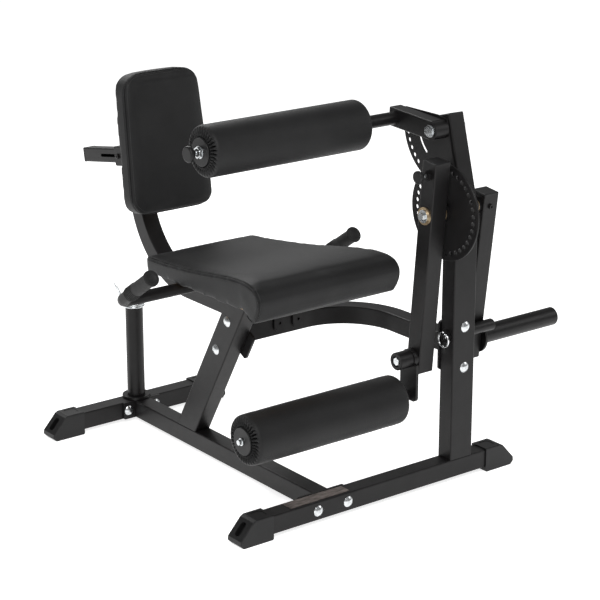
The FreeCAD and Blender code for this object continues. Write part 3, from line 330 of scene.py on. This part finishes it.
def groove(piece, path, width, depth):
    # Pulls the cover in along a sewn line.
    tree = KDTree(len(path))
    for index, point in enumerate(path):
        tree.insert(point, index)
    tree.balance()
    for vertex in piece.data.vertices:
        _, _, gap = tree.find(vertex.co)
        if gap < width:
            fall = 0.5 + 0.5 * math.cos(math.pi * gap / width)
            vertex.co -= vertex.normal * depth * fall


def resample(points, step, closed):
    ring = points + [points[0]] if closed else points
    out = [ring[0].copy()]
    left = step
    for a, b in zip(ring, ring[1:]):
        run = (b - a).length
        if run < 1e-9:
            continue
        along = left
        while along <= run:
            out.append(a.lerp(b, along / run))
            along += step
        left = along - run
    return out


def relax(points, rounds, closed):
    for _ in range(rounds):
        fresh = []
        count = len(points)
        for i, p in enumerate(points):
            if not closed and i in (0, count - 1):
                fresh.append(p)
                continue
            fresh.append((points[i - 1] + p * 2 + points[(i + 1) % count]) / 4)
        points = fresh
    return points


def on_cover(tree, points, lift):
    out = []
    for point in points:
        spot, normal, _, _ = tree.find_nearest(point)
        out.append(spot + normal * lift)
    return out


def sweep(bm, points, radius, sides, closed):
    # Round tube through the points, with parallel-carried rings.
    count = len(points)
    rings = []
    side = None
    for i, p in enumerate(points):
        before = points[i - 1] if (closed or i) else p
        after = points[(i + 1) % count] if (closed or i < count - 1) else p
        way = (after - before).normalized()
        if side is None:
            side = way.orthogonal().normalized()
        side = (side - way * side.dot(way)).normalized()
        up = way.cross(side)
        ring = []
        for k in range(sides):
            turn = 2 * math.pi * k / sides
            ring.append(bm.verts.new(p + (side * math.cos(turn) + up * math.sin(turn)) * radius))
        rings.append(ring)
    spans = count if closed else count - 1
    for i in range(spans):
        a = rings[i]
        b = rings[(i + 1) % count]
        for k in range(sides):
            bm.faces.new((a[k], a[(k + 1) % sides], b[(k + 1) % sides], b[k]))
    if not closed:
        bm.faces.new(list(reversed(rings[0])))
        bm.faces.new(rings[-1])


# Sewing on both pads: the raised seam, the bars of thread and how far they stand out.
SEAM_RADIUS = 0.0012
STITCH_LENGTH = 0.0035
STITCH_GAP = 0.0013
THREAD_RADIUS = 0.0005
STITCH_LIFT = 0.0002
FINE_STEP = 0.0005


def tube_piece(name, points, closed, body):
    bm = bmesh.new()
    sweep(bm, points, SEAM_RADIUS, 8, closed)
    mesh = bpy.data.meshes.new(name)
    bm.to_mesh(mesh)
    bm.free()
    return add_object(name, mesh, looks["vinyl"], body)


def stitches(name, points, body):
    # A row of short thread bars along an evenly spaced line.
    bm = bmesh.new()
    fine = resample(points, FINE_STEP, False)
    stride = int(round((STITCH_LENGTH + STITCH_GAP) / FINE_STEP))
    keep = int(round(STITCH_LENGTH / FINE_STEP))
    for start in range(0, len(fine) - keep, stride):
        a = fine[start]
        b = fine[start + keep]
        middle = (a + b) / 2
        sweep(bm, [a, a.lerp(middle, 0.4), middle, b.lerp(middle, 0.4), b], THREAD_RADIUS, 6, False)
    mesh = bpy.data.meshes.new(name)
    bm.to_mesh(mesh)
    bm.free()
    return add_object(name, mesh, thread, body)


# ---- seat -----------------------------------------------------------------------
# Millimetres, from the same datums as at(); angles in radians.
SEAT_MIDDLE = 14.0
SEAT_RISE = math.radians(3.15)
TIP_Y = 600
TIP_Z = 543
SEAT_FRONT = 24.0
SEAT_LONG = 596.0
SEAT_FRONT_HALF = 224.0
SEAT_NARROWING = 54.0
SEAT_REAR = 618
SEAT_REAR_HIGH = 580
SEAT_CORNER = 41
SEAT_CORNER_X = 131
SEAT_CORNER_Y = 577


def on_seat(x, y, z):
    # Seat points are given level and tipped front up about the rear of the board.
    dy = y - TIP_Y
    dz = z - TIP_Z
    return at(SEAT_MIDDLE + x, TIP_Y + dy * math.cos(SEAT_RISE) + dz * math.sin(SEAT_RISE),
              TIP_Z - dy * math.sin(SEAT_RISE) + dz * math.cos(SEAT_RISE))


def on_board(vertex, middle, up, thick):
    # Underside of a pad, or the wall of the pocket its board sits in.
    if vertex.normal.dot(up) < -0.6:
        return True
    away = vertex.co - middle
    return away.dot(up) < thick and vertex.normal.dot(away) < 0


seat_pivot = on_seat(0, 350, 555)
seat_up = (on_seat(0, 350, 655) - seat_pivot).normalized()
behind_roll = at(0, 125, 0).y
seat = from_node("seat_cushion", voxel=0.0055, shrink=0.0012, smooth=3, up=seat_up,
                 rim=lambda v: (v.co - seat_pivot).dot(seat_up) < -0.0045 and v.co.y > behind_roll)
puff(seat, lambda v: on_board(v, seat_pivot, seat_up, 0.004))
seat_tree = finish_pad(seat, "seat_cushion_soft", "frame")
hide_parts("seat_cushion")


def seat_half(y):
    return SEAT_FRONT_HALF - (y - SEAT_FRONT) / SEAT_LONG * SEAT_NARROWING


# The side panel is sewn to the wrap-over cover along this profile.
profile = [(90, 536), (78, 525), (66, 521), (53, 526), (40, 542), (31, 558), (27, 575), (31, 590), (43, 604),
           (64, 612), (95, 616), (140, 616), (200, 611), (260, 604), (330, 596), (400, 590), (480, 585),
           (560, 582)]


def seat_line(inset):
    right = [on_seat(inset - seat_half(y), y, z) for y, z in profile]
    for turn in (15, 30, 45, 60, 75, 90):
        angle = math.radians(turn)
        reach = SEAT_CORNER - inset
        right.append(on_seat(-(SEAT_CORNER_X + reach * math.cos(angle)),
                             SEAT_CORNER_Y + reach * math.sin(angle), SEAT_REAR_HIGH))
    rear = [on_seat(x, SEAT_REAR - inset, SEAT_REAR_HIGH) for x in (-100, -60, -20, 20, 60, 100)]
    mirror = 2 * (SEAT_X + SEAT_MIDDLE / 1000)
    left = [Vector((mirror - p.x, p.y, p.z)) for p in reversed(right)]
    line = relax(resample(right + rear + left, 0.005, False), 5, False)
    return relax(on_cover(seat_tree, line, 0.0), 4, False)


seam = seat_line(0)
groove(seat, seam, width=0.008, depth=0.0016)
tube_piece("seat_seam", seam, False, "frame")
below_seam = [p - seat_up * 0.007 for p in seam]
side_row = relax(on_cover(seat_tree, below_seam, 0.0), 2, False)
for label, row in (("seat_stitches_top", seat_line(7)), ("seat_stitches_side", side_row)):
    stitches(label, on_cover(seat_tree, row, STITCH_LIFT), "frame")


# ---- backrest pad ----------------------------------------------------------------
LEAN = math.radians(8.5)
# Metres: the pad's half sizes, how much it narrows upwards, and its corner radii.
PAD_HALF_WIDE = 0.125
PAD_HALF_TALL = 0.189
PAD_TAPER = 0.037
PAD_CORNER = 0.050
CORNER_CUT = 0.0485
LOOP_TAPER = 0.056
pad_middle = at(0, 717, 849)
pad_out = Vector((0, -math.cos(LEAN), -math.sin(LEAN)))
pad_up = Vector((0, math.sin(LEAN), math.cos(LEAN)))


def on_pad(x, up, back):
    return pad_middle + Vector((x, 0, 0)) + pad_up * up - pad_out * back


def round_corners(piece):
    # The cover pulls the pad's outline in at its four corners.
    for vertex in piece.data.vertices:
        away = vertex.co - pad_middle
        up = away.dot(pad_up)
        half = PAD_HALF_WIDE - PAD_TAPER * up
        reach = Vector((abs(away.x) - (half - PAD_CORNER), abs(up) - (PAD_HALF_TALL - PAD_CORNER)))
        if reach.x > 0 and reach.y > 0 and reach.length > CORNER_CUT:
            pull = (reach.length - CORNER_CUT) / reach.length
            vertex.co.x -= math.copysign(reach.x * pull, away.x)
            vertex.co -= pad_up * math.copysign(reach.y * pull, up)


back = from_node("back_cushion", voxel=0.005, shrink=0.0006, smooth=4, up=pad_out,
                 rim=lambda v: (v.co - pad_middle).dot(pad_out) < -0.048)
round_corners(back)
puff(back, lambda v: on_board(v, on_pad(0, 0, 0.041), pad_out, 0.002))
back_tree = finish_pad(back, "back_cushion_soft", "backrest")
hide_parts("back_cushion")


def pad_loop(half_wide, half_tall, radius, depth):
    points = []
    for cx, cz, start in ((1, 1, 0), (-1, 1, 90), (-1, -1, 180), (1, -1, 270)):
        for k in range(9):
            turn = math.radians(start + k * 11.25)
            x = cx * (half_wide - radius) + radius * math.cos(turn)
            z = cz * (half_tall - radius) + radius * math.sin(turn)
            points.append(on_pad(x * (1 - LOOP_TAPER * z / PAD_HALF_TALL), z, depth))
    return resample(points, 0.006, True)


seam_loop = pad_loop(half_wide=0.1235, half_tall=0.1875, radius=0.049, depth=0.011)
loop = relax(on_cover(back_tree, seam_loop, 0.0), 4, True)
groove(back, loop, width=0.008, depth=0.0015)
tube_piece("back_seam", loop, True, "backrest")
for label, shift, depth in (("back_stitches_face", 0.007, 0.002), ("back_stitches_side", 0.0, 0.019)):
    row = pad_loop(half_wide=0.1245 - shift, half_tall=0.1885 - shift, radius=0.05 - shift, depth=depth)
    row = relax(on_cover(back_tree, row, STITCH_LIFT), 3, True)
    stitches(label, row, "backrest")


# ---- rollers ---------------------------------------------------------------------
# Facets round a cover, gathers round its end face, and its measures in metres.
SIDES = 408
FOLDS = 34
PLEAT_DEPTH = 0.0075
EDGE_RADIUS = 0.0135
DISH = 0.004
COLLAR_RADIUS = 0.0362


def roller(name, node, body, phase):
    low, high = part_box(node)
    y = (low[1] + high[1]) / 2
    z = (low[2] + high[2]) / 2
    outer = (high[2] - low[2]) / 2
    # Half outline from the middle to one end: distance from the end, radius.
    rows = [(0.2425, outer), (0.2, outer), (0.15, outer), (0.1, outer), (0.06, outer), (0.035, outer)]
    for k in range(9):
        turn = math.radians(90 - k * 15)
        rows.append((EDGE_RADIUS - EDGE_RADIUS * math.cos(turn),
                     outer - EDGE_RADIUS + EDGE_RADIUS * math.sin(turn)))
    last = rows[-1]
    for k in range(1, 9):
        reach = k / 8
        rows.append((last[0] - DISH * math.sin(2.6 * reach), last[1] + (COLLAR_RADIUS - last[1]) * reach))
    rows.append((0.0012, 0.0350))
    rows.append((0.0015, 0.031))
    middle = (low[0] + high[0]) / 2
    half = (high[0] - low[0]) / 2
    bm = bmesh.new()
    rings = []
    whole = [(-1, r) for r in reversed(rows)] + [(1, r) for r in rows[1:]]
    for way, (from_end, radius) in whole:
        x = middle + way * (half - from_end)
        near = max(0.0, min(1.0, (outer - 0.005 - radius) / 0.009))
        if radius < 0.0360:
            near = 0.0
        ring = []
        for k in range(SIDES):
            turn = 2 * math.pi * k / SIDES
            wander = 0.35 * math.sin(3 * turn + phase) + 0.2 * math.sin(7 * turn + 2 * phase * way)
            wave = math.cos(FOLDS * turn + wander + way)
            fold = -abs(wave) ** 1.5 * 1.1 if wave < 0 else wave ** 0.7 * 0.5
            depth = PLEAT_DEPTH * near * (0.8 + 0.2 * math.sin(5 * turn + phase))
            sag = 0.00035 * math.sin(2 * turn + phase) * math.sin(9 * math.pi * from_end / half)
            r = radius + 0.0006 * near * wave + (sag if radius > outer - 0.002 else 0) - 0.0004
            dx = way * depth * (fold - 0.5)
            ring.append(bm.verts.new((x + dx, y + r * math.cos(turn), z + r * math.sin(turn))))
        rings.append(ring)
    for a, b in zip(rings, rings[1:]):
        for k in range(SIDES):
            bm.faces.new((a[k], b[k], b[(k + 1) % SIDES], a[(k + 1) % SIDES]))
    bmesh.ops.recalc_face_normals(bm, faces=bm.faces)
    mesh = bpy.data.meshes.new(name)
    bm.to_mesh(mesh)
    bm.free()
    piece = add_object(name, mesh, looks["vinyl"], body)
    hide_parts(node)


roller("upper_roller_cover", "upper_roller_pad", "upper_roller", phase=0.4)
roller("lower_roller_cover", "lower_roller_pad", "lower_roller", phase=1.9)


# ---- floor, light and camera -------------------------------------------------------
mesh = bpy.data.meshes.new("floor")
bm = bmesh.new()
bmesh.ops.create_grid(bm, x_segments=8, y_segments=8, size=60)
bm.to_mesh(mesh)
bm.free()
floor = bpy.data.objects.new("floor", mesh)
scene.collection.objects.link(floor)
floor_mat, _, floor_shader, _ = new_material("floor_white", (0.9, 0.9, 0.9), 0.9)
floor_shader.inputs["Specular IOR Level"].default_value = 0.1
floor_shader.inputs["Emission Color"].default_value = (1, 1, 1, 1)
floor_shader.inputs["Emission Strength"].default_value = 0.8
floor.data.materials.append(floor_mat)

world = bpy.data.worlds.new("studio")
scene.world = world
world.use_nodes = True
world.node_tree.nodes["Background"].inputs["Color"].default_value = (1, 1, 1, 1)
world.node_tree.nodes["Background"].inputs["Strength"].default_value = 0.26


def area(name, place, target, size, power):
    light = bpy.data.lights.new(name, "AREA")
    light.shape = "RECTANGLE"
    light.size = size[0]
    light.size_y = size[1]
    light.energy = power
    holder = bpy.data.objects.new(name, light)
    scene.collection.objects.link(holder)
    holder.location = place
    holder.rotation_euler = (Vector(target) - Vector(place)).to_track_quat("-Z", "Y").to_euler()


area("key", place=(-2.2, -2.4, 3.4), target=(0, 0, 0.4), size=(1.8, 1.8), power=105)
area("fill", place=(2.8, -2.0, 2.2), target=(0, 0, 0.5), size=(1.6, 1.6), power=22)
area("rim", place=(0.5, 2.8, 3.0), target=(0, 0, 0.5), size=(2.6, 1.2), power=75)

# The camera stands this far to the user's right, ahead of the front tube and up, in metres.
CAMERA_RIGHT = 2.90816
CAMERA_AHEAD = 3.65897
CAMERA_HIGH = 2.10752
camera_data = bpy.data.cameras.new("camera")
camera_data.sensor_width = 36
camera_data.lens = 120.68
camera = bpy.data.objects.new("camera", camera_data)
scene.collection.objects.link(camera)
camera.location = (SEAT_X - CAMERA_RIGHT, FRONT_Y - CAMERA_AHEAD, CAMERA_HIGH)
azimuth = math.radians(-37.436)
elevation = math.radians(18.032)
away = Vector((math.sin(azimuth) * math.cos(elevation), -math.cos(azimuth) * math.cos(elevation),
               math.sin(elevation)))
camera.rotation_euler = away.to_track_quat("Z", "Y").to_euler()
scene.camera = camera
scene.view_settings.view_transform = "Standard"
